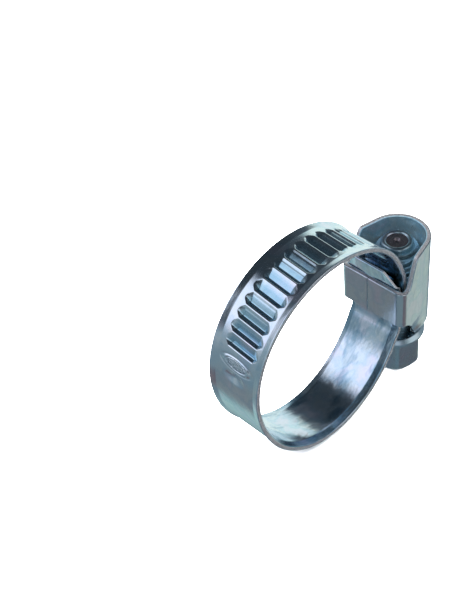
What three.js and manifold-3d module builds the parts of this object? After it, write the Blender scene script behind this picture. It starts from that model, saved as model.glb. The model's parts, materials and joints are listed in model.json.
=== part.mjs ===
// Worm-drive hose clamp of the 9 mm band pattern: a zinc-plated steel band whose plain end is fixed in a folded
// sheet housing, and whose grooved end runs under a worm screw that draws it through the housing.
// Millimetres. The ring's axis is Y and its centre is the origin. The housing sits at +X, the screw lies along Z
// with its head at -Z, and +Z is up.
import * as THREE from "three";
import { mergeVertices } from "three/addons/utils/BufferGeometryUtils.js";
import Module from "manifold-3d";

const wasm = await Module();
wasm.setup();

// ---- driving dimensions ----
const BAND_WIDTH = 9;
const BAND_THICKNESS = 0.75;
const RING_RADIUS = 15.11; // mean inner radius of the ring
const OVAL_COS2 = -0.5; // how far the hanging ring is from round, as harmonics of the angle
const OVAL_SIN2 = -0.24;
const OVAL_SIN3 = 0.27;

const SHEET = 0.75; // housing sheet
const SADDLE_X = 12.75; // face of the saddle that lies on the hose
const SEAT_GAP = 0.1; // between the saddle and the fixed band end
const RUN_GAP = 0.2; // between the two layers of band
const TIP_END_Z = 2.1; // saddle's end at the screw's tip
const HEAD_END_Z = -4.9; // saddle's end at the screw's head
const COVER_TIP_Z = 6.7;
const FOOT_X = 14.6; // from here the legs' ends slope away from the saddle's ends
const LEG_HALF = 5.85; // outside of the housing's legs, from the middle
const LEG_BEND = 1.2; // outer radius of the bend between a leg and the saddle
const KINK_X = 16.9;
const KINK_HALF = 5.5;
const COVER_RADIUS = 4.9;
const COVER_HALF_ANGLE = 1.3; // the round of the cover, each way from +X
const NECK_START_Z = -6.3; // where the cover starts to turn round
const SHOULDER_Z = -9; // where it starts to neck down
const COLLAR_Z = -11.2;
const COLLAR_RADIUS = 3.87;

const AXIS_X = 18.85; // screw axis
const PITCH = 2; // thread pitch, and spacing of the band's grooves
const WORM_RADIUS = 3.85;
const WORM_ROOT = 3.1;
const WORM_HEAD_Z = -6.4;
const WORM_TIP_Z = 4.4;
const CREST_Z = 1.8; // height of one thread crest on the side that faces the band
const PILOT_RADIUS = 2.4;
const PILOT_FACE_RADIUS = 1.9;
const PILOT_END_Z = 5.8;
const NECK_RADIUS = 2.4;
const FLANGE_RADIUS = 4.5;
const FLANGE_EDGE_RADIUS = 4.05;
const FLANGE_TOP_Z = -11.35;
const FLANGE_BOTTOM_Z = -12.5;
const HEX_TOP_Z = -13.4;
const HEX_BOTTOM_Z = -18.5;
const HEX_ACROSS_FLATS = 7;
const HEX_TURN = -Math.PI / 4; // direction of one flat's normal
const FACE_RADIUS = 3.05;

const GROOVE_LENGTH = 5.4;
const GROOVE_WIDTH = 1.3;
const GROOVE_DEPTH = 0.42;
const LAST_GROOVE = 151.4; // degrees round from the housing

const TAIL_END = -27.3; // degrees: the grooved end, out past the housing
const FIXED_END = 365; // degrees: where the plain end starts to bend out of the mouth of the housing
const HOOK_STEP = 0.25; // between the saddle's edge and the plain end's step over it
const HOOK_END_Z = 5.5; // tip of the plain end
const HOOK_END_HALF = 2.7;
const HOOK_SHEET = 0.3; // the tip is pressed thin
const FLEX_TOP = 90; // degrees: the lines where the band model bends
const FLEX_LEFT = 181;
const FLEX_BOTTOM = 270;
const FLEX_GAP = 0.55; // degrees left free on each side of such a line

// ---- materials ----
const zincBand = new THREE.MeshStandardMaterial({ color: 0xa9bac6, roughness: 0.22, metalness: 1 });
const zincHousing = new THREE.MeshStandardMaterial({ color: 0x94a8b0, roughness: 0.32, metalness: 1 });
const zincScrew = new THREE.MeshStandardMaterial({ color: 0xb0ada2, roughness: 0.28, metalness: 1 });

// ---- solids and meshes ----
function solid(geometry) {
  const bare = geometry.clone();
  bare.deleteAttribute("normal");
  bare.deleteAttribute("uv");
  const merged = mergeVertices(bare, 1e-4);
  return new wasm.Manifold(
    new wasm.Mesh({
      numProp: 3,
      vertProperties: merged.attributes.position.array,
      triVerts: new Uint32Array(merged.index.array),
    }),
  );
}

function mesh(name, body, material) {
  const made = body.getMesh();
  const geometry = new THREE.BufferGeometry();
  geometry.setAttribute("position", new THREE.BufferAttribute(new Float32Array(made.vertProperties), 3));
  geometry.setIndex(new THREE.BufferAttribute(new Uint32Array(made.triVerts), 1));
  geometry.computeVertexNormals();
  const result = new THREE.Mesh(geometry, material);
  result.name = name;
  return result;
}

function box(xs, ys, zs) {
  const geometry = new THREE.BoxGeometry(xs[1] - xs[0], ys[1] - ys[0], zs[1] - zs[0]);
  geometry.translate((xs[0] + xs[1]) / 2, (ys[0] + ys[1]) / 2, (zs[0] + zs[1]) / 2);
  return solid(geometry);
}

// An outline in the XZ plane, pushed along Y by width, centred on the middle plane.
function acrossY(points, width) {
  const geometry = new THREE.ExtrudeGeometry(new THREE.Shape(points), { depth: width, bevelEnabled: false });
  geometry.rotateX(Math.PI / 2);
  geometry.translate(0, width / 2, 0);
  return solid(geometry);
}

// A turned piece about the screw axis: pairs of radius and height, from the axis at one end to the axis at the other.
function turned(profile, segments) {
  const points = profile.map(([r, z]) => new THREE.Vector2(r, z));
  const geometry = new THREE.LatheGeometry(points, segments);
  geometry.rotateX(Math.PI / 2);
  geometry.translate(AXIS_X, 0, 0);
  return solid(geometry);
}

// ---- band ----
const FIXED_X = SADDLE_X + SHEET + SEAT_GAP + BAND_THICKNESS / 2;
const RUNNING_X = FIXED_X + BAND_THICKNESS + RUN_GAP;

// Radius of the band's middle layer at an angle in degrees, counted from the housing over the top:
// straight where it lies in the housing, oval round the hose.
function bandRadius(degrees) {
  const angle = THREE.MathUtils.degToRad(degrees);
  const round =
    RING_RADIUS +
    BAND_THICKNESS / 2 +
    OVAL_COS2 * Math.cos(2 * angle) +
    OVAL_SIN2 * Math.sin(2 * angle) +
    OVAL_SIN3 * Math.sin(3 * angle);
  if (degrees < 20) {
    const straight = RUNNING_X / Math.cos(angle);
    return THREE.MathUtils.lerp(straight, round, THREE.MathUtils.smoothstep(degrees, 8, 20));
  }
  if (degrees > 330) {
    const straight = FIXED_X / Math.cos(angle);
    return THREE.MathUtils.lerp(round, straight, THREE.MathUtils.smoothstep(degrees, 330, 340));
  }
  return round;
}

function bandPoint(degrees) {
  const angle = THREE.MathUtils.degToRad(degrees);
  return new THREE.Vector2(Math.cos(angle), Math.sin(angle)).multiplyScalar(bandRadius(degrees));
}

// Unit vector out of the band, away from the hose.
function bandNormal(degrees) {
  const ahead = bandPoint(degrees + 0.05).sub(bandPoint(degrees - 0.05)).normalize();
  return new THREE.Vector2(ahead.y, -ahead.x);
}

function bandStretch(from, to) {
  const steps = Math.ceil((to - from) / 4);
  const outer = [];
  const inner = [];
  for (let i = 0; i <= steps; i++) {
    const degrees = from + ((to - from) * i) / steps;
    const point = bandPoint(degrees);
    const normal = bandNormal(degrees);
    outer.push(point.clone().addScaledVector(normal, BAND_THICKNESS / 2));
    inner.push(point.clone().addScaledVector(normal, -BAND_THICKNESS / 2));
  }
  return acrossY([...outer, ...inner.reverse()], BAND_WIDTH);
}

// Past the saddle the plain end steps towards the hose, hooks over the saddle's edge and narrows to its tip.
function hookedTip() {
  const hoseSide = FIXED_X - BAND_THICKNESS / 2;
  const tipX = SADDLE_X - 0.3;
  const side = [
    new THREE.Vector2(hoseSide, 1),
    new THREE.Vector2(hoseSide, TIP_END_Z + HOOK_STEP),
    new THREE.Vector2(SADDLE_X + 0.1, TIP_END_Z + 2 * HOOK_STEP),
    new THREE.Vector2(tipX, HOOK_END_Z),
    new THREE.Vector2(tipX + HOOK_SHEET, HOOK_END_Z),
    new THREE.Vector2(hoseSide - 0.15, TIP_END_Z + 0.9),
    new THREE.Vector2(FIXED_X, TIP_END_Z),
    new THREE.Vector2(hoseSide + BAND_THICKNESS, 1),
  ];
  const half = BAND_WIDTH / 2;
  const plan = [
    new THREE.Vector2(-half, 0),
    new THREE.Vector2(half, 0),
    new THREE.Vector2(half, TIP_END_Z + HOOK_STEP),
    new THREE.Vector2(HOOK_END_HALF, HOOK_END_Z + 0.1),
    new THREE.Vector2(-HOOK_END_HALF, HOOK_END_Z + 0.1),
    new THREE.Vector2(-half, TIP_END_Z + HOOK_STEP),
  ];
  const kept = new THREE.ExtrudeGeometry(new THREE.Shape(plan), { depth: 10, bevelEnabled: false });
  kept.applyMatrix4(
    new THREE.Matrix4().makeBasis(
      new THREE.Vector3(0, 1, 0),
      new THREE.Vector3(0, 0, 1),
      new THREE.Vector3(1, 0, 0),
    ),
  );
  kept.translate(SADDLE_X - 5, 0, 0);
  return acrossY(side, BAND_WIDTH).intersect(solid(kept));
}

// Angles of the pressed grooves: one pitch apart along the band, in step with the thread.
function grooveAngles() {
  const angles = [];
  let travelled = bandPoint(TAIL_END).y;
  let next = CREST_Z - PITCH * Math.floor((CREST_Z - travelled) / PITCH);
  let last = bandPoint(TAIL_END);
  for (let degrees = TAIL_END; degrees < LAST_GROOVE; degrees += 0.05) {
    const point = bandPoint(degrees);
    travelled += point.distanceTo(last);
    last = point;
    if (travelled >= next) {
      angles.push(degrees);
      next += PITCH;
    }
  }
  return angles;
}

const HELIX_SLOPE = PITCH / (2 * Math.PI * WORM_RADIUS);

function grooveCutter(degrees) {
  const point = bandPoint(degrees);
  const normal = bandNormal(degrees);
  const cutter = new THREE.BoxGeometry(2 * GROOVE_DEPTH, GROOVE_LENGTH, GROOVE_WIDTH);
  cutter.rotateX(-Math.atan(HELIX_SLOPE));
  cutter.rotateY(-Math.atan2(normal.y, normal.x));
  point.addScaledVector(normal, BAND_THICKNESS / 2);
  cutter.translate(point.x, 0, point.y);
  return solid(cutter);
}

function groovedStretch(from, to) {
  let stretch = bandStretch(from, to);
  for (const degrees of grooveAngles()) {
    const clearOfEnds = degrees > from + 3 && degrees < to - 3;
    if (clearOfEnds) stretch = stretch.subtract(grooveCutter(degrees));
  }
  return stretch;
}

// ---- housing ----
// Outline across the housing, set in by inset from its outer skin: saddle, two legs, and the cover over the worm.
function housingOutline(inset) {
  const half = LEG_HALF - inset;
  const bend = LEG_BEND - inset;
  const bottom = SADDLE_X + inset;
  const shape = new THREE.Shape();
  shape.moveTo(bottom, bend - half);
  shape.lineTo(bottom, half - bend);
  shape.absarc(bottom + bend, half - bend, bend, Math.PI, Math.PI / 2, true);
  shape.lineTo(KINK_X, KINK_HALF - inset);
  shape.absarc(AXIS_X, 0, COVER_RADIUS - inset, COVER_HALF_ANGLE, -COVER_HALF_ANGLE, true);
  shape.lineTo(KINK_X, inset - KINK_HALF);
  shape.absarc(bottom + bend, bend - half, bend, -Math.PI / 2, -Math.PI, true);
  return shape;
}

function housingBlock(inset, from, to) {
  const geometry = new THREE.ExtrudeGeometry(housingOutline(inset), {
    depth: to - from,
    bevelEnabled: false,
    curveSegments: 12,
  });
  geometry.translate(0, 0, from);
  return solid(geometry);
}

// What is cut away at the tip end: the legs slope back from the cover's mouth to the shorter saddle.
function tipSlope() {
  const outline = [
    new THREE.Vector2(SADDLE_X - 1, TIP_END_Z),
    new THREE.Vector2(FOOT_X, TIP_END_Z),
    new THREE.Vector2(KINK_X - 0.3, COVER_TIP_Z),
    new THREE.Vector2(KINK_X - 0.3, COVER_TIP_Z + 2),
    new THREE.Vector2(SADDLE_X - 1, COVER_TIP_Z + 2),
  ];
  return acrossY(outline, 4 * LEG_HALF);
}

// And at the head end: from the legs' feet the edge runs out to the collar.
function headSlope() {
  const outline = [
    new THREE.Vector2(SADDLE_X - 1, HEAD_END_Z),
    new THREE.Vector2(SADDLE_X - 1, COLLAR_Z - 1),
    new THREE.Vector2(AXIS_X - 0.1, COLLAR_Z - 1),
    new THREE.Vector2(AXIS_X - 0.1, COLLAR_Z),
    new THREE.Vector2(FOOT_X, HEAD_END_Z),
  ];
  return acrossY(outline, 4 * LEG_HALF);
}

// Towards the head the cover turns round and necks down to a collar behind the screw's flange.
function neckedCover() {
  const outer = turned(
    [
      [0, NECK_START_Z + 0.1],
      [COVER_RADIUS + 0.3, NECK_START_Z + 0.1],
      [COVER_RADIUS, SHOULDER_Z + 1],
      [COVER_RADIUS, SHOULDER_Z],
      [COLLAR_RADIUS, COLLAR_Z],
      [0, COLLAR_Z],
    ].reverse(),
    48,
  );
  const inner = turned(
    [
      [0, NECK_START_Z + 1],
      [COVER_RADIUS + 0.3 - SHEET, NECK_START_Z + 1],
      [COVER_RADIUS - SHEET, SHOULDER_Z + 1],
      [COVER_RADIUS - SHEET, SHOULDER_Z],
      [COLLAR_RADIUS - SHEET, COLLAR_Z],
      [COLLAR_RADIUS - SHEET, COLLAR_Z - 1],
      [0, COLLAR_Z - 1],
    ].reverse(),
    48,
  );
  return outer.subtract(inner);
}

function housing() {
  const outer = housingBlock(0, NECK_START_Z, COVER_TIP_Z);
  const inner = housingBlock(SHEET, NECK_START_Z - 1, COVER_TIP_Z + 1);
  return outer.subtract(inner).add(neckedCover()).subtract(tipSlope()).subtract(headSlope());
}

// ---- screw ----
// Thread height at a height and angle about the axis, from 0 at the root to 1 on the crest. Right-handed.
function threadHeight(z, angle) {
  const turns = (z - CREST_Z) / PITCH - (angle - Math.PI) / (2 * Math.PI);
  const fromCrest = Math.abs(turns - Math.round(turns)) * PITCH;
  const height = 1 - THREE.MathUtils.smoothstep(fromCrest, 0.12, 0.55);
  const runOut = Math.min(z - WORM_HEAD_Z, WORM_TIP_Z - z);
  return height * THREE.MathUtils.smoothstep(runOut, 0, 0.8);
}

function worm() {
  const length = WORM_TIP_Z - WORM_HEAD_Z;
  const geometry = new THREE.CylinderGeometry(1, 1, length, 28, Math.round((length / PITCH) * 9));
  geometry.rotateX(Math.PI / 2);
  geometry.translate(0, 0, (WORM_TIP_Z + WORM_HEAD_Z) / 2);
  const position = geometry.attributes.position;
  for (let i = 0; i < position.count; i++) {
    const reach = Math.hypot(position.getX(i), position.getY(i));
    if (reach < 0.5) continue;
    const angle = Math.atan2(position.getY(i), position.getX(i));
    const rise = threadHeight(position.getZ(i), angle < 0 ? angle + 2 * Math.PI : angle);
    const radius = WORM_ROOT + (WORM_RADIUS - WORM_ROOT) * rise;
    position.setXY(i, radius * Math.cos(angle), radius * Math.sin(angle));
  }
  geometry.translate(AXIS_X, 0, 0);
  return solid(geometry);
}

function shank() {
  return turned(
    [
      [0, HEX_TOP_Z - 0.5],
      [3.4, HEX_TOP_Z - 0.5],
      [3.5, HEX_TOP_Z],
      [FLANGE_RADIUS, FLANGE_BOTTOM_Z],
      [FLANGE_RADIUS, FLANGE_TOP_Z - 0.6],
      [FLANGE_EDGE_RADIUS, FLANGE_TOP_Z],
      [NECK_RADIUS, FLANGE_TOP_Z],
      [NECK_RADIUS, WORM_HEAD_Z + 0.5],
      [NECK_RADIUS, WORM_TIP_Z - 0.5],
      [PILOT_RADIUS, WORM_TIP_Z - 0.5],
      [PILOT_RADIUS, PILOT_END_Z - 0.5],
      [PILOT_FACE_RADIUS, PILOT_END_Z],
      [0.5, PILOT_END_Z],
      [0, PILOT_END_Z - 0.4],
    ],
    40,
  );
}

function hexHead() {
  const corner = HEX_ACROSS_FLATS / Math.sqrt(3);
  const prism = new THREE.CylinderGeometry(corner, corner, HEX_TOP_Z - HEX_BOTTOM_Z, 6);
  prism.rotateX(Math.PI / 2);
  prism.rotateZ(HEX_TURN);
  prism.translate(AXIS_X, 0, (HEX_TOP_Z + HEX_BOTTOM_Z) / 2);
  const rounding = turned(
    [
      [0, HEX_BOTTOM_Z],
      [FACE_RADIUS, HEX_BOTTOM_Z],
      [corner + 0.1, HEX_BOTTOM_Z + 0.7],
      [corner + 0.1, HEX_TOP_Z + 1],
      [0, HEX_TOP_Z + 1],
    ],
    40,
  );
  const slot = box([AXIS_X - 5, AXIS_X + 5], [-0.55, 0.55], [HEX_BOTTOM_Z - 1, HEX_BOTTOM_Z + 1.1]);
  const cross = box([AXIS_X - 0.6, AXIS_X + 0.6], [-2.1, 2.1], [HEX_BOTTOM_Z - 1, HEX_BOTTOM_Z + 1.8]);
  return solid(prism).intersect(rounding).subtract(slot).subtract(cross);
}

// ---- assembly ----
const clamp = new THREE.Group();
clamp.add(
  mesh("housing", housing(), zincHousing),
  mesh("worm_screw", shank().add(worm()).add(hexHead()), zincScrew),
  mesh("band_fixed_quarter", bandStretch(FLEX_BOTTOM + FLEX_GAP, FIXED_END).add(hookedTip()), zincBand),
  mesh("band_lower_quarter", bandStretch(FLEX_LEFT + FLEX_GAP, FLEX_BOTTOM - FLEX_GAP), zincBand),
  mesh("band_upper_quarter", groovedStretch(FLEX_TOP + FLEX_GAP, FLEX_LEFT - FLEX_GAP), zincBand),
  mesh("band_grooved_end", groovedStretch(TAIL_END, FLEX_TOP - FLEX_GAP), zincBand),
);

export default clamp;
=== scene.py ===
import json
import math

import bmesh
import bpy
import numpy as np
from mathutils import Matrix, Vector


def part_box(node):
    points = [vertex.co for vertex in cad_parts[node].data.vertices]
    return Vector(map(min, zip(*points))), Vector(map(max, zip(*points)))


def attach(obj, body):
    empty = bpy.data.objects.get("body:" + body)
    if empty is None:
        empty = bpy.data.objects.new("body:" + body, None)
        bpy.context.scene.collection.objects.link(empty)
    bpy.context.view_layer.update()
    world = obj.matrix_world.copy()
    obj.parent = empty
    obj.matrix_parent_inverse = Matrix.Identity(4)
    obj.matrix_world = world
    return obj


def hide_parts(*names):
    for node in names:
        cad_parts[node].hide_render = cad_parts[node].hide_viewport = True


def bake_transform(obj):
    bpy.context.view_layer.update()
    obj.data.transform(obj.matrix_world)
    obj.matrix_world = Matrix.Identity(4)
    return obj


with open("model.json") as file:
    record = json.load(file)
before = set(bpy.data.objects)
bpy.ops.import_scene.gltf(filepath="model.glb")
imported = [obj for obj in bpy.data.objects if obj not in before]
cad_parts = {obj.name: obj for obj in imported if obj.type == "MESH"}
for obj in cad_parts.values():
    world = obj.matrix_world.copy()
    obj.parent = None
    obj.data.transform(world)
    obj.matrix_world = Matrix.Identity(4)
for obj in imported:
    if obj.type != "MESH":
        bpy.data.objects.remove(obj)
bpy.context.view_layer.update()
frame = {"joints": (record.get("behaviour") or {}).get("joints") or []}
MM = 0.001

# ---- sizes, in millimetres and degrees, in the frame of the CAD model ----
JOINTS = {joint["name"]: joint for joint in frame["joints"]}
BAND_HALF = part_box("band_lower_quarter")[1].y / MM
BAND_THICKNESS = 0.75
RING_RADIUS = 15.11  # mean inner radius of the ring
OVAL_COS2 = -0.5  # how far the ring is from round, as harmonics of the angle
OVAL_SIN2 = -0.24
OVAL_SIN3 = 0.27
OVAL_STARTS = (8, 20)  # degrees over which the straight run in the housing turns into the oval
OVAL_ENDS = (330, 340)  # and back
TAIL_END = -26.9  # degrees, counted from the housing over the top
SPLIT_TOP = 135  # degrees: where one piece of the band model ends and the next starts
SPLIT_LOW = 225

SHEET = 0.75
SADDLE_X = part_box("housing")[0].x / MM
SEAT_GAP = 0.1
RUN_GAP = 0.2
FIXED_X = SADDLE_X + SHEET + SEAT_GAP + BAND_THICKNESS / 2
RUNNING_X = FIXED_X + BAND_THICKNESS + RUN_GAP
TIP_END_Z = 2.1
COVER_TIP_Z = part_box("housing")[1].z / MM
LEG_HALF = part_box("housing")[1].y / MM
LEG_BEND = 1.2
KINK_X = 16.9
KINK_HALF = 5.5
COVER_RADIUS = 4.9
COVER_HALF_ANGLE = 1.3  # radians
SHOULDER_Z = -9
COLLAR_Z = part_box("housing")[0].z / MM
COLLAR_RADIUS = 3.87
SEAM_Y = 0.5
SEAM_GAP = 0.07
NARROWS_Z = (5.2, 9)  # below the ring's middle: where the legs turn into the round neck
NARROWS_X = (15, 16.5)
HOUSING_ROWS = 66
HOUSING_COLUMNS = 260

AXIS_X = JOINTS["screw_turn"]["pos_m"][0] / MM
PITCH = 2
WORM_RADIUS = 3.85
WORM_ROOT = 3.1
WORM_HEAD_Z = -6.4
WORM_TIP_Z = 4.4
CREST_Z = 1.8
FLANGE_RADIUS = 4.5
FLANGE_EDGE_RADIUS = 4.05
FLANGE_TOP_Z = -11.35
FLANGE_BOTTOM_Z = -12.5
HEX_TOP_Z = -13.4
HEX_BOTTOM_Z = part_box("worm_screw")[0].z / MM
PILOT_END_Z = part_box("worm_screw")[1].z / MM
PILOT_RADIUS = 2.4
HEX_ACROSS_FLATS = 7
HEX_TURN = -math.pi / 4
HEX_CORNER_RADIUS = 3.93
HEX_SHARP_ANGLE = 38
FACE_RADIUS = 3.05
PILOT_FACE_RADIUS = 1.58
SCREW_NECK_RADIUS = 2.4
FLANGE_FOOT_RADIUS = 3.5
FLANGE_ROUND = 0.2
CONE_RADIUS = 4.4  # where the hexagon's corners meet the flange
THREAD_LAND = 0.12  # half width of the thread's crest, and of its foot
THREAD_FOOT = 0.55
THREAD_RUN_OUT = 0.8
SLOT_HALF = 0.55
SLOT_DEPTH = 1.1
CROSS_HALF = 0.6
CROSS_HALF_LENGTH = 2.1
CROSS_DEPTH = 1.8
CUTTER_TAPER = 0.06
AXIS_GAP = 0.001  # radius of the tiny rings that close_ends closes
PILOT, WORM, FLANGE, HEXAGON = range(4)  # parts of the screw's outline

GROOVE_LENGTH = 5.9
GROOVE_MIDDLE = -0.3
LAST_GROOVE = 151.4
GROOVE_SLANT = PITCH / (2 * math.pi * WORM_RADIUS)
GROOVE_END_SHARE = 0.35  # width of a groove's pointed end, as a share of its full width
GROOVE_END_LENGTH = 0.75
GROOVE_FADE = 0.85
BACK_SHARE = 0.25  # how much of a groove's depth shows on the hose side
MARK_MIDDLE = -0.1  # across the band
MARK_ANGLE = 156.3
MARK_HALVES = (0.78, 2.2)  # half sizes along and across the band
MARK_DEPTH = 0.08
MARK_RING = 0.06
DIMPLE_ANGLE = 164.2
DIMPLE_HALVES = (0.95, 1.85)
DIMPLE_DEPTH = 0.42
LIP_START = 3.45
LIP_SLOPE = 0.26
LIP_SOFTNESS = 0.04
TAIL_SHARE = 0.52  # width of the band's very end, as a share of its full width
TAIL_CORNER = 0.9
HOOK_STARTS = 355  # degrees
HOOK_NARROWS_Z = 2.55
HOOK_END_Z = 5.5
HOOK_END_HALF = 2.7
HOOK_SHEET = 0.3
HOOK_SIDE_Z = [2.2, 3, 4, 5.2, HOOK_END_Z]  # how far the hook's sides are pushed towards the hose
HOOK_SIDE_PUSH = [0.32, 0.66, 0.94, 1.3, 1.42]
EDGE_ROUND = 0.13
EDGE_STEPS = EDGE_ROUND * np.array([0, 0.1, 0.32, 0.68, 1, 1.7])
END_STEPS = np.array([0, 0.01, 0.04, 0.08, 0.13, 0.22, 0.32, 0.45])
PLAIN_STEP = 0.45  # between rows of points on the plain part of the band
HOOK_STEP = 0.09
GROOVE_STEP = PITCH / 22
FAR = 9  # from an edge: farther than its rounding reaches
SHARP_ANGLE = 72


# ---- helpers ----
def smooth(value, start, end):
    """0 before start, 1 after end, and a soft step between them."""
    t = np.clip((value - start) / (end - start), 0, 1)
    return t * t * (3 - 2 * t)


def quads(rows, columns):
    """Faces of a grid of points that is stored row by row."""
    corner = np.arange(rows - 1)[:, None] * columns + np.arange(columns - 1)[None, :]
    return np.stack([corner, corner + 1, corner + columns + 1, corner + columns], -1).reshape(-1, 4)


def rounding(distance, half, radius=EDGE_ROUND):
    """Half thickness of a sheet at a distance from its free edge, which is rounded."""
    inside = np.clip(radius - distance, 0, radius)
    return half - radius + np.sqrt(np.maximum(radius**2 - inside**2, 0))


def thick_sheet(middle, normal, outer, inner, faces):
    """Points and faces of a closed sheet: outer skin, inner skin and the rim between them."""
    count = len(middle)
    points = np.vstack([middle + normal * outer[:, None], middle + normal * inner[:, None]])
    edges = np.vstack([faces[:, [k, (k + 1) % 4]] for k in range(4)])
    key = edges.min(1) * count + edges.max(1)
    _, first, uses = np.unique(key, return_index=True, return_counts=True)
    free = edges[first[uses == 1]]
    rim = np.stack([free[:, 1], free[:, 0], free[:, 0] + count, free[:, 1] + count], 1)
    index = np.repeat([0, 1, 2], [len(faces), len(faces), len(rim)])
    return points, np.vstack([faces, faces[:, ::-1] + count, rim]), index


def add_piece(name, points, faces, strip, materials, index):
    """A smooth-shaded object. strip holds each point's place along and across the metal."""
    mesh = bpy.data.meshes.new(name)
    mesh.from_pydata((points * MM).tolist(), [], faces.tolist())
    for material in materials:
        mesh.materials.append(material)
    mesh.polygons.foreach_set("material_index", index.astype(np.int32))
    mesh.shade_smooth()
    mesh.set_sharp_from_angle(angle=math.radians(SHARP_ANGLE))
    attribute = mesh.attributes.new("strip", "FLOAT_VECTOR", "POINT")
    attribute.data.foreach_set("vector", strip.astype(np.float32).ravel())
    mesh.update()
    piece = bpy.data.objects.new(name, mesh)
    bpy.context.scene.collection.objects.link(piece)
    return piece


# ---- band ----
def band_radius(degrees):
    """Radius of the band's middle layer: straight in the housing, oval round the hose."""
    angle = np.radians(degrees)
    oval = (
        RING_RADIUS
        + BAND_THICKNESS / 2
        + OVAL_COS2 * np.cos(2 * angle)
        + OVAL_SIN2 * np.sin(2 * angle)
        + OVAL_SIN3 * np.sin(3 * angle)
    )
    leaving = RUNNING_X / np.cos(angle)
    entering = FIXED_X / np.cos(angle)
    first = leaving + (oval - leaving) * smooth(degrees, *OVAL_STARTS)
    last = oval + (entering - oval) * smooth(degrees, *OVAL_ENDS)
    radius = np.where(degrees < OVAL_STARTS[1], first, oval)
    return np.where(degrees > OVAL_ENDS[0], last, radius)


def band_point(degrees):
    angle = np.radians(degrees)
    radius = band_radius(degrees)
    return np.stack([radius * np.cos(angle), radius * np.sin(angle)], -1)


HOOK_DEGREES = 360 + math.degrees(math.atan(HOOK_END_Z / FIXED_X))
DEGREES = np.linspace(TAIL_END, HOOK_DEGREES, 60001)
TRAVEL = np.concatenate(
    [[0], np.cumsum(np.linalg.norm(np.diff(band_point(DEGREES), axis=0), axis=1))]
)
TOTAL = TRAVEL[-1]


def travel_at(degrees):
    return float(np.interp(degrees, DEGREES, TRAVEL))


def middle_line(travel):
    """Points of the middle layer, and normals away from the hose, at distances from the tail."""
    degrees = np.interp(travel, TRAVEL, DEGREES)
    point = band_point(degrees)
    ahead = band_point(degrees + 0.05) - band_point(degrees - 0.05)
    ahead /= np.linalg.norm(ahead, axis=-1, keepdims=True)
    return point, np.stack([ahead[..., 1], -ahead[..., 0]], -1)


TAIL_Z = float(band_point(np.array(TAIL_END))[1])
GROOVE_PHASE = CREST_Z - TAIL_Z
LAST_GROOVE_INDEX = math.floor((travel_at(LAST_GROOVE) - GROOVE_PHASE) / PITCH)


# Depth across one groove: a ledge and a long slope away from the housing,
# then a steep wall up to the next ridge.
GROOVE_PLACES = [-1.0, -0.96, -0.58, -0.47, 0.34, 0.46, 0.8, 0.9, 1.0]
GROOVE_DEPTHS = [0, 0.01, 0.19, 0.21, 0.52, 0.5, 0.08, 0, 0]


def groove_depth(travel, across):
    """How deep the pressed grooves are. travel already follows their slant."""
    turns = (travel - GROOVE_PHASE) / PITCH
    index = np.round(turns)
    lowest = math.ceil(-GROOVE_PHASE / PITCH)
    present = (index >= lowest) & (index <= LAST_GROOVE_INDEX)
    from_end = GROOVE_LENGTH / 2 - np.abs(across - GROOVE_MIDDLE)
    narrowing = GROOVE_END_SHARE + (1 - GROOVE_END_SHARE) * np.clip(from_end / GROOVE_END_LENGTH, 0, 1)
    place = np.clip((turns - index) * PITCH / narrowing, -1, 1)
    profile = np.interp(place, GROOVE_PLACES, GROOVE_DEPTHS)
    return profile * np.clip(from_end / GROOVE_FADE, 0, 1) * present


def oval_place(travel, across, degrees, halves):
    """Distance from the middle of an oval mark, 1 on its outline."""
    along = travel - travel_at(degrees)
    return np.hypot(along / halves[0], (across - MARK_MIDDLE) / halves[1])


def marks_depth(travel, across):
    """The blank oval and the elliptical dimple that follow the last groove."""
    # The oval is stamped flat, with a raised line round it and a shallow trough round that.
    oval = oval_place(travel, across, MARK_ANGLE, MARK_HALVES)
    stamped = MARK_DEPTH * (1 - smooth(oval, 0.78, 0.95))
    ring = MARK_RING * np.exp(-(((oval - 1.0) / 0.09) ** 2))
    around = MARK_DEPTH * np.exp(-(((oval - 1.28) / 0.13) ** 2))
    dimple = oval_place(travel, across, DIMPLE_ANGLE, DIMPLE_HALVES)
    bowl = DIMPLE_DEPTH * np.clip(1 - dimple, 0, 1)
    return stamped - ring + around + bowl


def lip_rise(across):
    """The band's edges are turned up, away from the hose."""
    out = np.maximum(np.abs(across) - LIP_START, 0)
    return LIP_SLOPE * (np.hypot(out, LIP_SOFTNESS) - LIP_SOFTNESS)


def tail_half(travel):
    """Half width of the band, which narrows to a rounded tail."""
    narrowed = BAND_HALF * (TAIL_SHARE + (1 - TAIL_SHARE) * smooth(travel, -0.6, 3.4))
    corner = np.clip(TAIL_CORNER - travel, 0, TAIL_CORNER)
    return narrowed - (TAIL_CORNER - np.sqrt(np.maximum(TAIL_CORNER**2 - corner**2, 0)))


def hook_half(height):
    """Half width of the hook, which narrows towards its end."""
    share = np.clip((height - HOOK_NARROWS_Z) / (HOOK_END_Z - HOOK_NARROWS_Z), 0, 1)
    return BAND_HALF + (HOOK_END_HALF - BAND_HALF) * share


def across_columns():
    """Places across the band, close together on its edges, its lips and the ends of the grooves."""
    edge = BAND_HALF - EDGE_ROUND * np.array([0, 0.08, 0.3, 0.65, 1, 1.7])
    lip = np.array([4.1, 3.9, 3.72, 3.6, 3.52, 3.45, 3.38, 3.3, 3.2])
    ends = np.arange(3.08, 1.75, -0.085)
    middle = np.array([1.6, 1.3, 1.0, 0.7, 0.35])
    half = np.concatenate([edge, lip, ends, middle])
    return np.concatenate([-half, [0], half[::-1]])


def band_rows(start, end, step):
    return np.linspace(start, end, max(2, round((end - start) / step) + 1))


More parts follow.
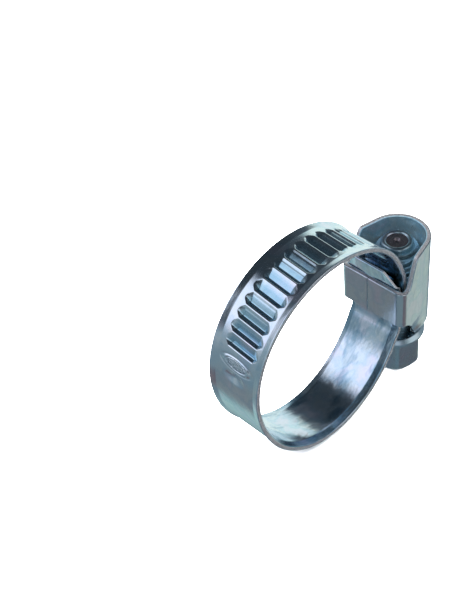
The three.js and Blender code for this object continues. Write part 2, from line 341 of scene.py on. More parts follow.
def hooked(outer, inner, half, height, aside, in_hook):
    """The plain end's two skins: it steps towards the hose and hooks over the saddle's edge, pressed thin."""
    stepped = in_hook * smooth(height, TIP_END_Z + 0.12, TIP_END_Z + 0.6)
    plate = np.minimum((3.9 - aside) / 1.5, (height - TIP_END_Z - 0.1 - 0.3 * aside) / 0.65)
    forward = SHEET + SEAT_GAP + 0.12 + 0.17 * (height - 3)
    sides = np.interp(height, HOOK_SIDE_Z, HOOK_SIDE_PUSH)
    pushed = inner - np.maximum(forward * np.clip(plate, 0, 1), sides) * stepped
    thin = in_hook * smooth(height, 0.4, TIP_END_Z - 0.2)
    sheet = (outer - inner) * (1 - thin) + thin * np.minimum(HOOK_SHEET, 2 * half)
    return np.where(in_hook, pushed + sheet, outer), pushed


def band_piece(name, rows, materials):
    """A stretch of band whose rows follow the slant of the grooves."""
    across = across_columns()
    travel = np.repeat(rows[:, None], len(across), 1)
    width = np.repeat(across[None, :], len(rows), 0)
    square = smooth(travel, 0, 4) * (1 - smooth(travel, TOTAL - 8, TOTAL - 5))
    slanted = travel - GROOVE_SLANT * width * square
    point, normal = middle_line(np.clip(slanted, 0, TOTAL))
    height = point[..., 1]
    in_hook = slanted > travel_at(HOOK_STARTS)
    scale = np.where(in_hook, hook_half(height), tail_half(travel)) / BAND_HALF
    from_side = (BAND_HALF - np.abs(width)) * scale
    from_tail = np.where(travel < 5, travel, FAR)
    from_hook = np.where(in_hook, TOTAL - slanted, FAR)
    from_edge = np.minimum(np.minimum(from_side, from_tail), from_hook)

    half = rounding(from_edge, BAND_THICKNESS / 2)
    pressed = groove_depth(travel, width) + marks_depth(travel, width)
    rise = lip_rise(width) * (1 - in_hook * smooth(height, 1, 2.3))
    outer = half - pressed + rise
    inner = -half - BACK_SHARE * pressed + rise
    outer, inner = hooked(outer, inner, half, height, np.abs(width * scale), in_hook)

    middle = np.stack([point[..., 0], width * scale, point[..., 1]], -1).reshape(-1, 3)
    normal3 = np.stack([normal[..., 0], np.zeros_like(width), normal[..., 1]], -1).reshape(-1, 3)
    faces = quads(len(rows), len(across))
    points, faces, index = thick_sheet(middle, normal3, outer.ravel(), inner.ravel(), faces)
    strip = np.stack([travel, width * scale, groove_depth(travel, width)], -1).reshape(-1, 3)
    piece = add_piece(name, points, faces, np.vstack([strip, strip]), materials, index)
    oval = oval_place(travel, width, MARK_ANGLE, MARK_HALVES)
    blank = 1 - smooth(oval, 0.7, 0.85).ravel()
    attribute = piece.data.attributes.new("blank", "FLOAT", "POINT")
    attribute.data.foreach_set("value", np.concatenate([blank, 0 * blank]).astype(np.float32))
    return piece


def band(materials):
    """Three stretches of one band, split at SPLIT_TOP and SPLIT_LOW."""
    last_mark = travel_at(DIMPLE_ANGLE) + 1
    low = travel_at(SPLIT_LOW)
    top = travel_at(SPLIT_TOP)

    hook_start = TOTAL - 3.4
    tail_rows = np.concatenate([END_STEPS, band_rows(0.6, top, GROOVE_STEP)])
    marked = band_rows(top, last_mark, GROOVE_STEP)
    upper_rows = np.concatenate([marked, band_rows(last_mark, low, PLAIN_STEP)[1:]])
    plain = band_rows(low, hook_start, PLAIN_STEP)
    hook = band_rows(hook_start, TOTAL - 0.5, HOOK_STEP)[1:]
    lower_rows = np.concatenate([plain, hook, TOTAL - END_STEPS[::-1]])
    grooved_end = band_piece("BandGroovedEnd", tail_rows, materials)
    upper = band_piece("BandUpper", upper_rows, materials)
    lower = band_piece("BandFixedEnd", lower_rows, materials)

    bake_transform(lower)
    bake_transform(upper)
    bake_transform(grooved_end)
    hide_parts("band_fixed_quarter", "band_lower_quarter")
    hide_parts("band_upper_quarter")
    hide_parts("band_grooved_end")


# ---- housing ----
def rounded_corner(before, corner, after, radius, steps=9):
    """Points of the arc that rounds a corner of a path."""
    before, corner, after = (np.array(p, float) for p in (before, corner, after))
    back = (before - corner) / np.linalg.norm(before - corner)
    ahead = (after - corner) / np.linalg.norm(after - corner)
    half = math.acos(np.clip(back @ ahead, -1, 1)) / 2
    reach = radius / math.tan(half)
    bisector = (back + ahead) / np.linalg.norm(back + ahead)
    centre = corner + bisector * radius / math.sin(half)
    first = corner + back * reach - centre
    last = corner + ahead * reach - centre
    start = math.atan2(first[1], first[0])
    sweep = math.atan2(last[1], last[0]) - start
    sweep = (sweep + math.pi) % (2 * math.pi) - math.pi
    angle = start + sweep * np.linspace(0, 1, steps)
    return centre + radius * np.stack([np.cos(angle), np.sin(angle)], -1)


def housing_half(side):
    """Middle layer across the housing from the seam to the top of the cover, on one side: x and y."""
    inset = SHEET / 2
    saddle = (SADDLE_X + inset, SEAM_Y * side + SEAM_GAP / 2)
    foot = (SADDLE_X + inset, LEG_HALF - inset)
    kink = (KINK_X, KINK_HALF - inset)
    radius = COVER_RADIUS - inset
    shoulder = (AXIS_X + radius * math.cos(COVER_HALF_ANGLE), radius * math.sin(COVER_HALF_ANGLE))
    cover_angle = np.linspace(COVER_HALF_ANGLE, 0, 40)
    cover = np.stack([AXIS_X + radius * np.cos(cover_angle), radius * np.sin(cover_angle)], -1)
    path = np.vstack(
        [
            [saddle],
            rounded_corner(saddle, foot, kink, LEG_BEND - inset, 14),
            rounded_corner(foot, kink, shoulder, 1.2),
            cover,
        ]
    )
    path[:, 1] *= side
    return path


def housing_columns():
    """Middle layer all the way round, from one side of the seam to the other."""
    path = np.vstack([housing_half(1), housing_half(-1)[-2::-1]])
    length = np.concatenate([[0], np.cumsum(np.linalg.norm(np.diff(path, axis=0), axis=1))])
    even = np.linspace(0.4, length[-1] - 0.4, HOUSING_COLUMNS)
    places = np.concatenate([EDGE_STEPS, even, length[-1] - EDGE_STEPS[::-1]])
    return places, np.stack([np.interp(places, length, path[:, k]) for k in (0, 1)], -1)


def tip_end(x):
    """Where the sheet ends towards the screw's tip: it dips round the bends, then rises to the mouth."""
    place = [13.0, 13.5, 14.0, 14.5, 14.8, 15.1, 15.4, 15.8, 16.2, 16.5, 16.8]
    rise = [0, -0.15, -0.4, -0.45, -0.25, 0.3, 1.2, 2.5, 3.8, 4.35, COVER_TIP_Z - TIP_END_Z]
    return TIP_END_Z + np.interp(x, place, rise)


def head_end(x):
    """Where it ends towards the screw's head: from the legs' feet the edge runs out to the collar."""
    place = [13, 13.8, 14.6, 15.4, 16.4, 17.1, 17.9, 18.6]
    edge = [-4.35, -4.75, -5.15, -6.0, -7.6, -8.9, -10.1, -10.9]
    return np.where(x > 18.5, COLLAR_Z, np.maximum(np.interp(x, place, edge), COLLAR_Z))


def slope_share(end, places):
    """How much shorter the way to a slanting edge is than the way along the screw."""
    return 1 / np.hypot(1, np.gradient(end, places))


def grid_normals(grid):
    """Normals of a surface through a grid of points, facing out of the housing."""
    along = np.gradient(grid, axis=0)
    across = np.gradient(grid, axis=1)
    normal = np.cross(across, along)
    return normal / np.linalg.norm(normal, axis=-1, keepdims=True)


def soft_curve(values, width):
    """A curve smoothed with a short window; its ends stay where they are."""
    window = np.hanning(width + 2)[1:-1]
    padded = np.pad(values, width // 2, mode="edge")
    return np.convolve(padded, window / window.sum(), "valid")


def housing(materials):
    """One folded sheet: saddle with its seam, two legs, and the cover that necks down to a collar."""
    places, point = housing_columns()
    x = point[:, 0]
    tip = soft_curve(tip_end(x), 7)
    head = soft_curve(head_end(x), 5)
    tip_share = slope_share(tip, places)
    head_share = slope_share(head, places)
    share = np.linspace(0, 1, HOUSING_ROWS)[1:-1, None]
    upper = tip - EDGE_STEPS[:, None] / tip_share
    lower = head + EDGE_STEPS[::-1, None] / head_share
    height = np.vstack([upper, upper[-1] + (lower[0] - upper[-1]) * share, lower])

    radius = np.hypot(x - AXIS_X, point[:, 1])
    angle = np.arctan2(point[:, 1], x - AXIS_X)
    necked = smooth(-height, -SHOULDER_Z, -COLLAR_Z - 0.2)
    round_radius = COVER_RADIUS - SHEET / 2 - (COVER_RADIUS - COLLAR_RADIUS) * necked
    narrowing = smooth(-height, *NARROWS_Z) * smooth(x, *NARROWS_X)
    reach = radius + (round_radius - radius) * narrowing
    grid = np.stack([AXIS_X + reach * np.cos(angle), reach * np.sin(angle), height], -1)

    from_seam = np.minimum(places, places[-1] - places)
    from_ends = np.minimum((tip - height) * tip_share, (height - head) * head_share)
    distance = np.maximum(np.minimum(from_ends, from_seam), 0)
    half = rounding(distance, SHEET / 2).ravel()
    normal = grid_normals(grid)
    faces = quads(*height.shape)
    strip = np.stack([height, np.repeat(places[None, :], len(height), 0), 0 * height], -1).reshape(-1, 3)
    points, faces, index = thick_sheet(grid.reshape(-1, 3), normal.reshape(-1, 3), half, -half, faces)
    piece = add_piece("Housing", points, faces, np.vstack([strip, strip]), materials, index)
    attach(piece, "housing")
    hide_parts("housing")


# ---- screw ----
AROUND = 144


def thread_height(z, angle):
    """1 on the thread's crest, 0 between its turns, fading out at both ends of the worm."""
    turns = (z - CREST_Z) / PITCH - (angle - math.pi) / (2 * math.pi)
    from_crest = np.abs(turns - np.round(turns)) * PITCH
    height = 1 - smooth(from_crest, THREAD_LAND, THREAD_FOOT)
    run_out = np.minimum(z - WORM_HEAD_Z, WORM_TIP_Z - z)
    return height * smooth(run_out, 0, THREAD_RUN_OUT)


def hex_radius(angle):
    """Distance to the side of the hexagon, whose corners are slightly rounded."""
    turned = (angle - HEX_TURN + math.pi / 6) % (math.pi / 3) - math.pi / 6
    return np.minimum(HEX_ACROSS_FLATS / 2 / np.cos(turned), HEX_CORNER_RADIUS)


def path_rows(corners, spacing):
    """A path through corner points, with a point at least every spacing."""
    rows = [np.array(corners[0], float)]
    for start, end in zip(corners[:-1], corners[1:]):
        start, end = np.array(start, float), np.array(end, float)
        count = max(1, math.ceil(np.linalg.norm(end - start) / spacing))
        rows += [start + (end - start) * (k + 1) / count for k in range(count)]
    return np.array(rows)


def arc_rows(centre, radius, start, end, count):
    angle = np.radians(np.linspace(start, end, count))
    return [(centre[0] + radius * math.cos(a), centre[1] + radius * math.sin(a)) for a in angle]


def screw_rows():
    """The screw's outline from the pilot's face to the hexagon's face, and each point's part of the screw."""
    face = PILOT_END_Z - 0.2
    rim = PILOT_RADIUS - 0.5
    top = HEX_BOTTOM_Z
    centre_mark = [(AXIS_GAP, face - 0.3), (0.2, face - 0.27), (0.38, face - 0.1), (0.5, face + 0.02)]
    pilot_face = [(0.7, face), (1.6, face - 0.03), (1.72, face + 0.12)]
    pilot_foot = [(PILOT_RADIUS, WORM_TIP_Z + 0.25), (PILOT_RADIUS + 0.2, WORM_TIP_Z + 0.06)]
    pilot = path_rows(
        centre_mark
        + pilot_face
        + arc_rows((rim, PILOT_END_Z - 0.5), 0.5, 90, 0, 12)
        + pilot_foot
        + [(WORM_ROOT, WORM_TIP_Z)],
        0.12,
    )
    worm = path_rows([(WORM_ROOT, WORM_TIP_Z), (WORM_ROOT, WORM_HEAD_Z)], PITCH / 26)[1:]
    flange = path_rows(
        [(WORM_ROOT, WORM_HEAD_Z)]
        + [(SCREW_NECK_RADIUS, WORM_HEAD_Z - 0.3), (SCREW_NECK_RADIUS, FLANGE_TOP_Z - 0.01)]
        + arc_rows((FLANGE_EDGE_RADIUS - 0.1, FLANGE_TOP_Z - 0.1), 0.1, 90, 50, 4)
        + arc_rows((FLANGE_RADIUS - FLANGE_ROUND, FLANGE_TOP_Z - 0.72), FLANGE_ROUND, 50, 0, 5)
        + arc_rows((FLANGE_RADIUS - FLANGE_ROUND, FLANGE_BOTTOM_Z + FLANGE_ROUND), FLANGE_ROUND, 0, -45, 5)
        + [(FLANGE_FOOT_RADIUS, HEX_TOP_Z)],
        0.35,
    )[1:]
    hexagon = path_rows(
        [(FLANGE_FOOT_RADIUS, HEX_TOP_Z), (5, HEX_TOP_Z - 0.1), (5, top + 1.1)]
        + [(4.06, top + 0.85), (3.9, top + 0.5), (3.62, top + 0.22), (3.3, top + 0.07)]
        + [(FACE_RADIUS, top), (2.9, top + 0.03), (AXIS_GAP, top + 0.1)],
        0.12,
    )[1:]
    kinds = np.concatenate(
        [np.full(len(part), kind) for kind, part in enumerate((pilot, worm, flange, hexagon))]
    )
    return np.vstack([pilot, worm, flange, hexagon]), kinds


def screw(materials):
    rows, kinds = screw_rows()
    angle = np.arange(AROUND) * 2 * math.pi / AROUND
    radius = np.repeat(rows[:, :1], AROUND, 1)
    height = np.repeat(rows[:, 1:], AROUND, 1)
    around = np.repeat(angle[None, :], len(rows), 0)
    worm = (kinds == WORM)[:, None]
    thread = WORM_ROOT + (WORM_RADIUS - WORM_ROOT) * thread_height(height, around)
    radius = np.where(worm, thread, radius)
    head = (kinds == HEXAGON)[:, None]
    radius = np.where(head, np.minimum(radius, hex_radius(around)), radius)
    cone = (kinds == FLANGE)[:, None] & (height < FLANGE_BOTTOM_Z - 0.05)
    radius = np.where(cone, np.maximum(radius, np.minimum(hex_radius(around), CONE_RADIUS)), radius)

    points = np.stack([AXIS_X + radius * np.cos(around), radius * np.sin(around), height], -1)
    columns = AROUND + 1
    faces = quads(len(rows), columns)
    row, column = faces // columns, faces % columns % AROUND
    faces = (row * AROUND + column)[:, ::-1]
    strip = np.stack([height, around * HEX_ACROSS_FLATS / 2, radius], -1).reshape(-1, 3)
    on_pilot_face = (rows[:-1, 0] < PILOT_FACE_RADIUS) & (kinds[:-1] == PILOT)
    index = 2 * np.repeat(on_pilot_face, AROUND)
    piece = add_piece("WormScrew", points.reshape(-1, 3), faces, strip, materials, index)
    close_ends(piece)
    cut_recess(piece, materials[1])
    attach(piece, "screw")
    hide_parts("worm_screw")


def close_ends(piece):
    """Merges the ring of points at each end of the axis into one."""
    work = bmesh.new()
    work.from_mesh(piece.data)
    bmesh.ops.remove_doubles(work, verts=work.verts, dist=4 * AXIS_GAP * MM)
    bmesh.ops.recalc_face_normals(work, faces=work.faces)
    work.to_mesh(piece.data)
    work.free()


def box_cutter(name, half_x, half_y, bottom, top, material):
    """A tapering bar across the screw's face: it is wider at its open side."""
    work = bmesh.new()
    corners = []
    for z, grow in ((bottom, CUTTER_TAPER), (top, -CUTTER_TAPER)):
        for x, y in ((-1, -1), (1, -1), (1, 1), (-1, 1)):
            corner = (AXIS_X + x * (half_x + grow), y * (half_y + grow), z)
            corners.append(work.verts.new([value * MM for value in corner]))
    low, high = corners[:4], corners[4:]
    work.faces.new(low[::-1])
    work.faces.new(high)
    for k in range(4):
        n = (k + 1) % 4
        work.faces.new((low[k], low[n], high[n], high[k]))
    mesh = bpy.data.meshes.new(name)
    mesh.materials.append(material)
    work.to_mesh(mesh)
    work.free()
    cutter = bpy.data.objects.new(name, mesh)
    bpy.context.scene.collection.objects.link(cutter)
    return cutter


def cut_recess(piece, material):
    """Cuts the straight slot and the cross into the hexagon's face."""
    face = HEX_BOTTOM_Z
    cutters = [
        box_cutter("Slot", 5, SLOT_HALF, face - 0.5, face + SLOT_DEPTH, material),
        box_cutter("Cross", CROSS_HALF, CROSS_HALF_LENGTH, face - 0.5, face + CROSS_DEPTH, material),
    ]
    for cutter in cutters:
        cut = piece.modifiers.new(cutter.name, "BOOLEAN")
        cut.operation = "DIFFERENCE"
        cut.object = cutter
        cut.solver = "EXACT"
        cut.material_mode = "TRANSFER"
    bpy.context.view_layer.update()
    shaped = piece.evaluated_get(bpy.context.evaluated_depsgraph_get())
    mesh = bpy.data.meshes.new_from_object(shaped)
    piece.modifiers.clear()
    piece.data = mesh
    mesh.set_sharp_from_angle(angle=math.radians(HEX_SHARP_ANGLE))
    for cutter in cutters:
        bpy.data.objects.remove(cutter)


# ---- materials ----
class Nodes:
    """Short calls that add a node to a material and link it."""

    def __init__(self, tree):
        self.tree = tree

    def add(self, kind, settings=None, **inputs):
        node = self.tree.nodes.new(kind)
        for name, value in (settings or {}).items():
            setattr(node, name, value)
        for name, value in inputs.items():
            self.set(node, name.replace("_", " "), value)
        return node

    def set(self, node, name, value):
        socket = node.inputs[int(name)] if name.isdigit() else node.inputs[name]
        if isinstance(value, bpy.types.NodeSocket):
            self.tree.links.new(value, socket)
        else:
            socket.default_value = value

    def math(self, operation, first, second=0.0):
        node = self.tree.nodes.new("ShaderNodeMath")
        node.operation = operation
        self.set(node, "0", first)
        self.set(node, "1", second)
        return node.outputs[0]

    def stretched(self, vector, scale):
        node = self.tree.nodes.new("ShaderNodeVectorMath")
        node.operation = "MULTIPLY"
        self.set(node, "0", vector)
        node.inputs[1].default_value = scale
        return node.outputs[0]

    def noise(self, vector, detail, roughness, scale=1.0):
        settings = {"Vector": vector, "Scale": scale, "Detail": detail, "Roughness": roughness}
        return self.add("ShaderNodeTexNoise", **settings).outputs["Fac"]

    def ramp(self, factor, stops):
        node = self.tree.nodes.new("ShaderNodeValToRGB")
        self.set(node, "Fac", factor)
        elements = node.color_ramp.elements
        while len(elements) < len(stops):
            elements.new(0.5)
        for element, (place, colour) in zip(elements, stops):
            element.position = place
            element.color = (*colour, 1)
        return node.outputs["Color"]

    def mix(self, factor, first, second, blend="MIX"):
        node = self.tree.nodes.new("ShaderNodeMix")
        node.data_type = "RGBA"
        node.blend_type = blend
        self.set(node, "0", factor)
        for index, value in ((6, first), (7, second)):
            if isinstance(value, bpy.types.NodeSocket):
                self.tree.links.new(value, node.inputs[index])
            else:
                node.inputs[index].default_value = (*value, 1)
        return node.outputs[2]

    def remap(self, value, start, end, low, high):
        """low at start and below, high at end and above."""
        limits = {"From_Min": start, "From_Max": end, "To_Min": low, "To_Max": high}
        return self.add("ShaderNodeMapRange", Value=value, **limits).outputs[0]

    def map(self, value, low, high):
        """Spreads the middle half of a noise, which holds most of it, from low to high."""
        return self.remap(value, 0.25, 0.75, low, high)

    def tinted(self, colour, factor, tint):
        """A share of the tint's effect, which multiplies the colour."""
        return self.mix(factor, colour, self.mix(1.0, colour, tint, "MULTIPLY"))

    def bump(self, height, strength, distance, **below):
        """A relief, with its distance in millimetres, on top of another one's normals."""
        node = self.add("ShaderNodeBump", Strength=strength, Distance=distance * MM, Height=height, **below)
        return node.outputs[0]


# Cells of a noise in each millimetre along the metal, across it, and with the depth of its grooves.
FILM = (0.12, 0.3, 0.3)
HUES = (0.07, 0.22, 0.2)
BLOTCH_CELLS = (0.13, 0.34, 0)
SCRATCHES = (0.7, 38, 1)
WAVES = (0.35, 0.9, 0.5)
RELIEF = (3.5, 3.5, 0)
STREAKS = (9, 9, 1)
# Cells of a noise in each metre, the same every way.
DRIFT = (260, 260, 260)
PATCHY = (500, 500, 500)
GRAIN = (7000, 7000, 7000)
SPECKS = (9000, 9000, 9000)

ROSY_SHIFT = (1.04, 0.97, 1.03)
FILM_COLOURS = [
    (0.0, (0.78, 0.86, 0.97)),
    (0.35, (0.72, 0.9, 0.9)),
    (0.6, (0.93, 0.86, 0.88)),
    (0.85, (0.86, 0.83, 0.97)),
]
FILM_SHARE = 0.35
# Painted shade: the grooves' floors are multiplied towards this teal, more the deeper they are.
GROOVE_SHADE = (0.46, 0.72, 0.82)
BLOTCH_TINT = (0.3, 0.47, 0.56)
RELIEF_DEPTH = 0.25
SCRATCH_DEPTH = 0.006
SPECK_DEPTH = 0.008
STRIATION_DEPTH = 0.02


def metal(name, metallic):
    """A material, its nodes and shader, and the two kinds of place that its patterns follow."""
    material = bpy.data.materials.new(name)
    material.use_nodes = True
    nodes = Nodes(material.node_tree)
    shader = material.node_tree.nodes["Principled BSDF"]
    shader.inputs["Metallic"].default_value = metallic
    strip = nodes.add("ShaderNodeAttribute", {"attribute_name": "strip"}).outputs["Vector"]
    place = nodes.add("ShaderNodeTexCoord").outputs["Object"]
    return material, nodes, shader, strip, place


def plating(nodes, strip, place, cool, warm):
    """A colour that drifts between two, under a film with faint colours of its own."""
    drift = nodes.map(nodes.noise(nodes.stretched(place, DRIFT), 3.0, 0.5), 0, 1)
    rosy = tuple(part * shift for part, shift in zip(warm, ROSY_SHIFT))
    zinc_colour = nodes.ramp(drift, [(0.0, cool), (0.45, warm), (0.6, cool), (0.8, rosy)])
    hue = nodes.map(nodes.noise(nodes.stretched(strip, HUES), 1.0, 0.5), 0, 1)
    film = nodes.noise(nodes.stretched(strip, FILM), 2.0, 0.5)
    share = nodes.map(film, 0.0, FILM_SHARE)
    return nodes.mix(share, zinc_colour, nodes.ramp(hue, FILM_COLOURS), "MULTIPLY")


def zinc(name, cool, warm, roughness, waviness, speckle, metallic=1.0, blotches=0.0):
    """Blue-passivated zinc plate, with rolling scratches, fine speckle and a slight waviness; its grooves get
    painted shade.
    """
    material, nodes, shader, strip, place = metal(name, metallic)
    scratches = nodes.noise(nodes.stretched(strip, SCRATCHES), 4.0, 0.65)
    specks = nodes.noise(nodes.stretched(place, SPECKS), 2.0, 0.6)
    darker = nodes.map(specks, 1 - speckle, 1.0)
    grey = nodes.add("ShaderNodeCombineColor", Red=darker, Green=darker, Blue=darker).outputs[0]
    colour = nodes.mix(1.0, plating(nodes, strip, place, cool, warm), grey, "MULTIPLY")
    depth = nodes.add("ShaderNodeSeparateXYZ", Vector=strip).outputs["Z"]
    # Painted shade in the pressed grooves: the colour darkens to teal with their depth.
    sunk = nodes.remap(depth, 0.04, 0.3, 0.0, 0.75)
    colour = nodes.tinted(colour, sunk, GROOVE_SHADE)
    # Dark teal blotches, as strong as blotches asks; only the band's inner skin has them.
    blotch_noise = nodes.noise(nodes.stretched(strip, BLOTCH_CELLS), 3.0, 0.6)
    colour = nodes.tinted(colour, nodes.remap(blotch_noise, 0.5, 0.64, 0.0, blotches), BLOTCH_TINT)
    nodes.set(shader, "Base Color", colour)

    patches = nodes.noise(nodes.stretched(place, PATCHY), 3.0, 0.6)
    rough = nodes.map(scratches, roughness * 0.75, roughness * 1.25)
    rough = nodes.math("ADD", rough, nodes.map(patches, -0.03, 0.05))
    rough = nodes.math("ADD", rough, nodes.math("MULTIPLY", sunk, 0.12))
    nodes.set(shader, "Roughness", rough)

    waves = nodes.noise(nodes.stretched(strip, WAVES), 2.0, 0.5)
    normal = nodes.bump(waves, 1.0, waviness)
    normal = nodes.bump(scratches, 0.35, SCRATCH_DEPTH, Normal=normal)
    normal = nodes.bump(specks, 0.3, SPECK_DEPTH, Normal=normal)
    blank = nodes.add("ShaderNodeAttribute", {"attribute_name": "blank"}).outputs["Fac"]
    stamped = nodes.noise(nodes.stretched(strip, RELIEF), 2.0, 0.6)
    relief = nodes.math("MULTIPLY", stamped, blank)
    nodes.set(shader, "Normal", nodes.bump(relief, 1.0, RELIEF_DEPTH, Normal=normal))
    return material


def cut_edge(name, dark, light, metallic=1.0):
    """Sheared sheet edge: duller, with fine striations across the sheet."""
    material, nodes, shader, strip, place = metal(name, metallic)
    streaks = nodes.noise(nodes.stretched(strip, STREAKS), 4.0, 0.7)
    grain = nodes.noise(nodes.stretched(place, GRAIN), 3.0, 0.6)
    both = nodes.math("ADD", nodes.math("MULTIPLY", streaks, 0.6), nodes.math("MULTIPLY", grain, 0.4))
    nodes.set(shader, "Base Color", nodes.ramp(nodes.map(both, 0, 1), [(0.1, dark), (0.9, light)]))
    nodes.set(shader, "Roughness", nodes.map(grain, 0.34, 0.5))
    nodes.set(shader, "Normal", nodes.bump(both, 0.5, STRIATION_DEPTH))
    return material


# ---- studio ----
CAMERA_AZIMUTH = math.radians(-39.8)
CAMERA_ELEVATION = math.radians(43.74)
CAMERA_ROLL = math.radians(-7.17)
CAMERA_DISTANCE = 159.0
CAMERA_ASIDE = -12.275  # how far the camera stands right of the ring's centre, and above it
CAMERA_ABOVE = 5.374
LENS = 67.44
SENSOR_WIDTH = 36
FLOOR_COLOUR = (0.93, 0.935, 0.94, 1)
FLOOR_HALF = 4.0  # metres
FLOOR_GAP = 0.05  # below the hexagon's face
OVERHEAD_PLACE = (0.0, 0.1, 0.9)  # metres
OVERHEAD_SIZE = (1.6, 1.6)
OVERHEAD_POWER = 130


def camera():
    data = bpy.data.cameras.new("Camera")
    data.lens = LENS
    data.sensor_width = SENSOR_WIDTH
    data.clip_start = 0.01
    data.clip_end = 20
    back = Vector(
        (
            math.sin(CAMERA_AZIMUTH) * math.cos(CAMERA_ELEVATION),
            -math.cos(CAMERA_AZIMUTH) * math.cos(CAMERA_ELEVATION),
            math.sin(CAMERA_ELEVATION),
        )
    )
    level = Vector((math.cos(CAMERA_AZIMUTH), math.sin(CAMERA_AZIMUTH), 0))
    upright = back.cross(level)
    right = level * math.cos(CAMERA_ROLL) + upright * math.sin(CAMERA_ROLL)
    up = upright * math.cos(CAMERA_ROLL) - level * math.sin(CAMERA_ROLL)
    place = (right * CAMERA_ASIDE + up * CAMERA_ABOVE + back * CAMERA_DISTANCE) * MM
    seen = bpy.data.objects.new("Camera", data)
    bpy.context.scene.collection.objects.link(seen)
    seen.matrix_world = Matrix.Translation(place) @ Matrix((right, up, back)).transposed().to_4x4()
    bpy.context.scene.camera = seen


def area_light(name, place, size, energy):
    """A rectangular white light that faces the middle of the ring."""
    data = bpy.data.lights.new(name, "AREA")
    data.shape = "RECTANGLE"
    data.size, data.size_y = size
    data.energy = energy
    lamp = bpy.data.objects.new(name, data)
    bpy.context.scene.collection.objects.link(lamp)
    lamp.location = place
    lamp.rotation_euler = (-Vector(place)).to_track_quat("-Z", "Y").to_euler()
    return lamp


def floor():
    material = bpy.data.materials.new("PaleFloor")
    material.use_nodes = True
    shader = material.node_tree.nodes["Principled BSDF"]
    shader.inputs["Base Color"].default_value = FLOOR_COLOUR
    shader.inputs["Roughness"].default_value = 0.9
    shader.inputs["Specular IOR Level"].default_value = 0.0
    mesh = bpy.data.meshes.new("Floor")
    z = (HEX_BOTTOM_Z - FLOOR_GAP) * MM
    corners = [(x * FLOOR_HALF, y * FLOOR_HALF, z) for x, y in ((-1, -1), (1, -1), (1, 1), (-1, 1))]
    mesh.from_pydata(corners, [], [(0, 1, 2, 3)])
    mesh.materials.append(material)
    ground = bpy.data.objects.new("Floor", mesh)
    bpy.context.scene.collection.objects.link(ground)
    ground.visible_glossy = False


def soft_patch(nodes, direction, toward, half_angle, softness):
    """How much of a soft light, centred on a direction of the sky, is seen."""
    node = nodes.tree.nodes.new("ShaderNodeVectorMath")
    node.operation = "DOT_PRODUCT"
    nodes.tree.links.new(direction, node.inputs[0])
    node.inputs[1].default_value = Vector(toward).normalized()
    step = nodes.tree.nodes.new("ShaderNodeMapRange")
    step.interpolation_type = "SMOOTHSTEP"
    nodes.tree.links.new(node.outputs["Value"], step.inputs["Value"])
    step.inputs["From Min"].default_value = math.cos(math.radians(half_angle + softness))
    step.inputs["From Max"].default_value = math.cos(math.radians(max(half_angle - softness, 0)))
    return step.outputs[0]


SKY = [  # from straight below to straight above
    (0.0, (0.17, 0.24, 0.28)),
    (0.4, (0.2, 0.27, 0.32)),
    (0.56, (0.35, 0.42, 0.47)),
    (0.68, (0.09, 0.11, 0.13)),
    (0.9, (0.03, 0.04, 0.05)),
]
PATCHES = [
    # direction, half angle, softness, colour
    ((-0.59, 0.56, 0.59), 24, 9, (0.98, 1.04, 1.22)),
    ((0.80, 0.45, -0.15), 31, 8, (0.84, 0.97, 0.94)),
    ((0.30, -0.80, 0.35), 22, 10, (1.0, 1.0, 1.02)),
    ((-0.75, -0.55, 0.40), 20, 9, (0.75, 0.85, 0.95)),
    ((-0.10, 0.70, -0.70), 20, 11, (0.36, 0.54, 0.54)),
    ((-0.46, 0.555, -0.69), 13, 7, (0.2, 0.235, 0.26)),
    ((-0.68, 0.25, -0.69), 9, 5, (0.17, 0.15, 0.17)),
    ((0.46, -0.56, -0.69), 12, 6, (0.2, 0.185, 0.195)),
    ((0.70, -0.25, -0.68), 12, 6, (0.5, 0.6, 0.56)),
    ((0.12, -0.72, -0.69), 10, 5, (0.15, 0.13, 0.155)),
]


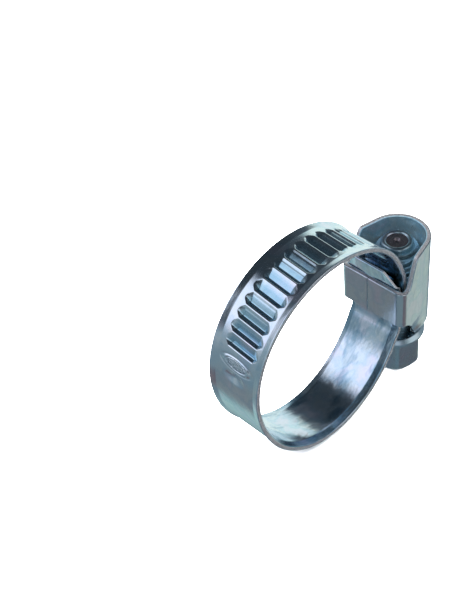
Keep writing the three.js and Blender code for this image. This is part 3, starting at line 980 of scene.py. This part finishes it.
def studio_world():
    """A light tent: blue-grey below, dark overhead, with soft bright panels."""
    world = bpy.data.worlds.new("Studio")
    bpy.context.scene.world = world
    world.use_nodes = True
    tree = world.node_tree
    nodes = Nodes(tree)
    background = tree.nodes["Background"]
    direction = nodes.add("ShaderNodeTexCoord").outputs["Generated"]
    upward = nodes.add("ShaderNodeSeparateXYZ", Vector=direction).outputs["Z"]
    height = nodes.remap(upward, -1.0, 1.0, 0.0, 1.0)
    colour = nodes.ramp(height, SKY)
    for toward, half_angle, softness, light in PATCHES:
        share = soft_patch(nodes, direction, toward, half_angle, softness)
        colour = nodes.mix(share, colour, light)
    tree.links.new(colour, background.inputs["Color"])
    background.inputs["Strength"].default_value = 1.0


def studio():
    camera()
    floor()
    studio_world()
    overhead = area_light("Overhead", OVERHEAD_PLACE, OVERHEAD_SIZE, OVERHEAD_POWER)
    overhead.visible_glossy = False
    view = bpy.context.scene.view_settings
    view.view_transform = "Standard"
    view.look = "None"
    view.exposure = 0
    view.gamma = 1


# ---- making ----
band_zinc = zinc("BandZinc", (0.7, 0.83, 0.92), (0.84, 0.91, 0.95), 0.13, 0.03, 0.1)
band_inside = zinc("BandInside", (0.68, 0.82, 0.93), (0.82, 0.9, 0.95), 0.15, 0.05, 0.1, 1.0, 0.8)
housing_zinc = zinc("HousingZinc", (0.68, 0.76, 0.82), (0.78, 0.82, 0.84), 0.2, 0.04, 0.14)
# Painted shade: the housing's inner skin is a darker, teal copy of its zinc.
housing_inside_shade = zinc("HousingInsideShade", (0.3, 0.5, 0.62), (0.4, 0.58, 0.68), 0.3, 0.04, 0.14, 0.88)
screw_zinc = zinc("ScrewZinc", (0.84, 0.81, 0.82), (0.9, 0.83, 0.8), 0.2, 0.03, 0.14)
sheared = cut_edge("ShearedEdge", (0.24, 0.24, 0.26), (0.58, 0.58, 0.61), 0.93)
recess_wall = cut_edge("RecessWall", (0.34, 0.31, 0.25), (0.72, 0.68, 0.58))
pilot_face = cut_edge("PilotFace", (0.2, 0.17, 0.19), (0.46, 0.4, 0.42))

studio()
band((band_zinc, band_inside, sheared))
housing((housing_zinc, housing_inside_shade, sheared))
screw((screw_zinc, recess_wall, pilot_face))
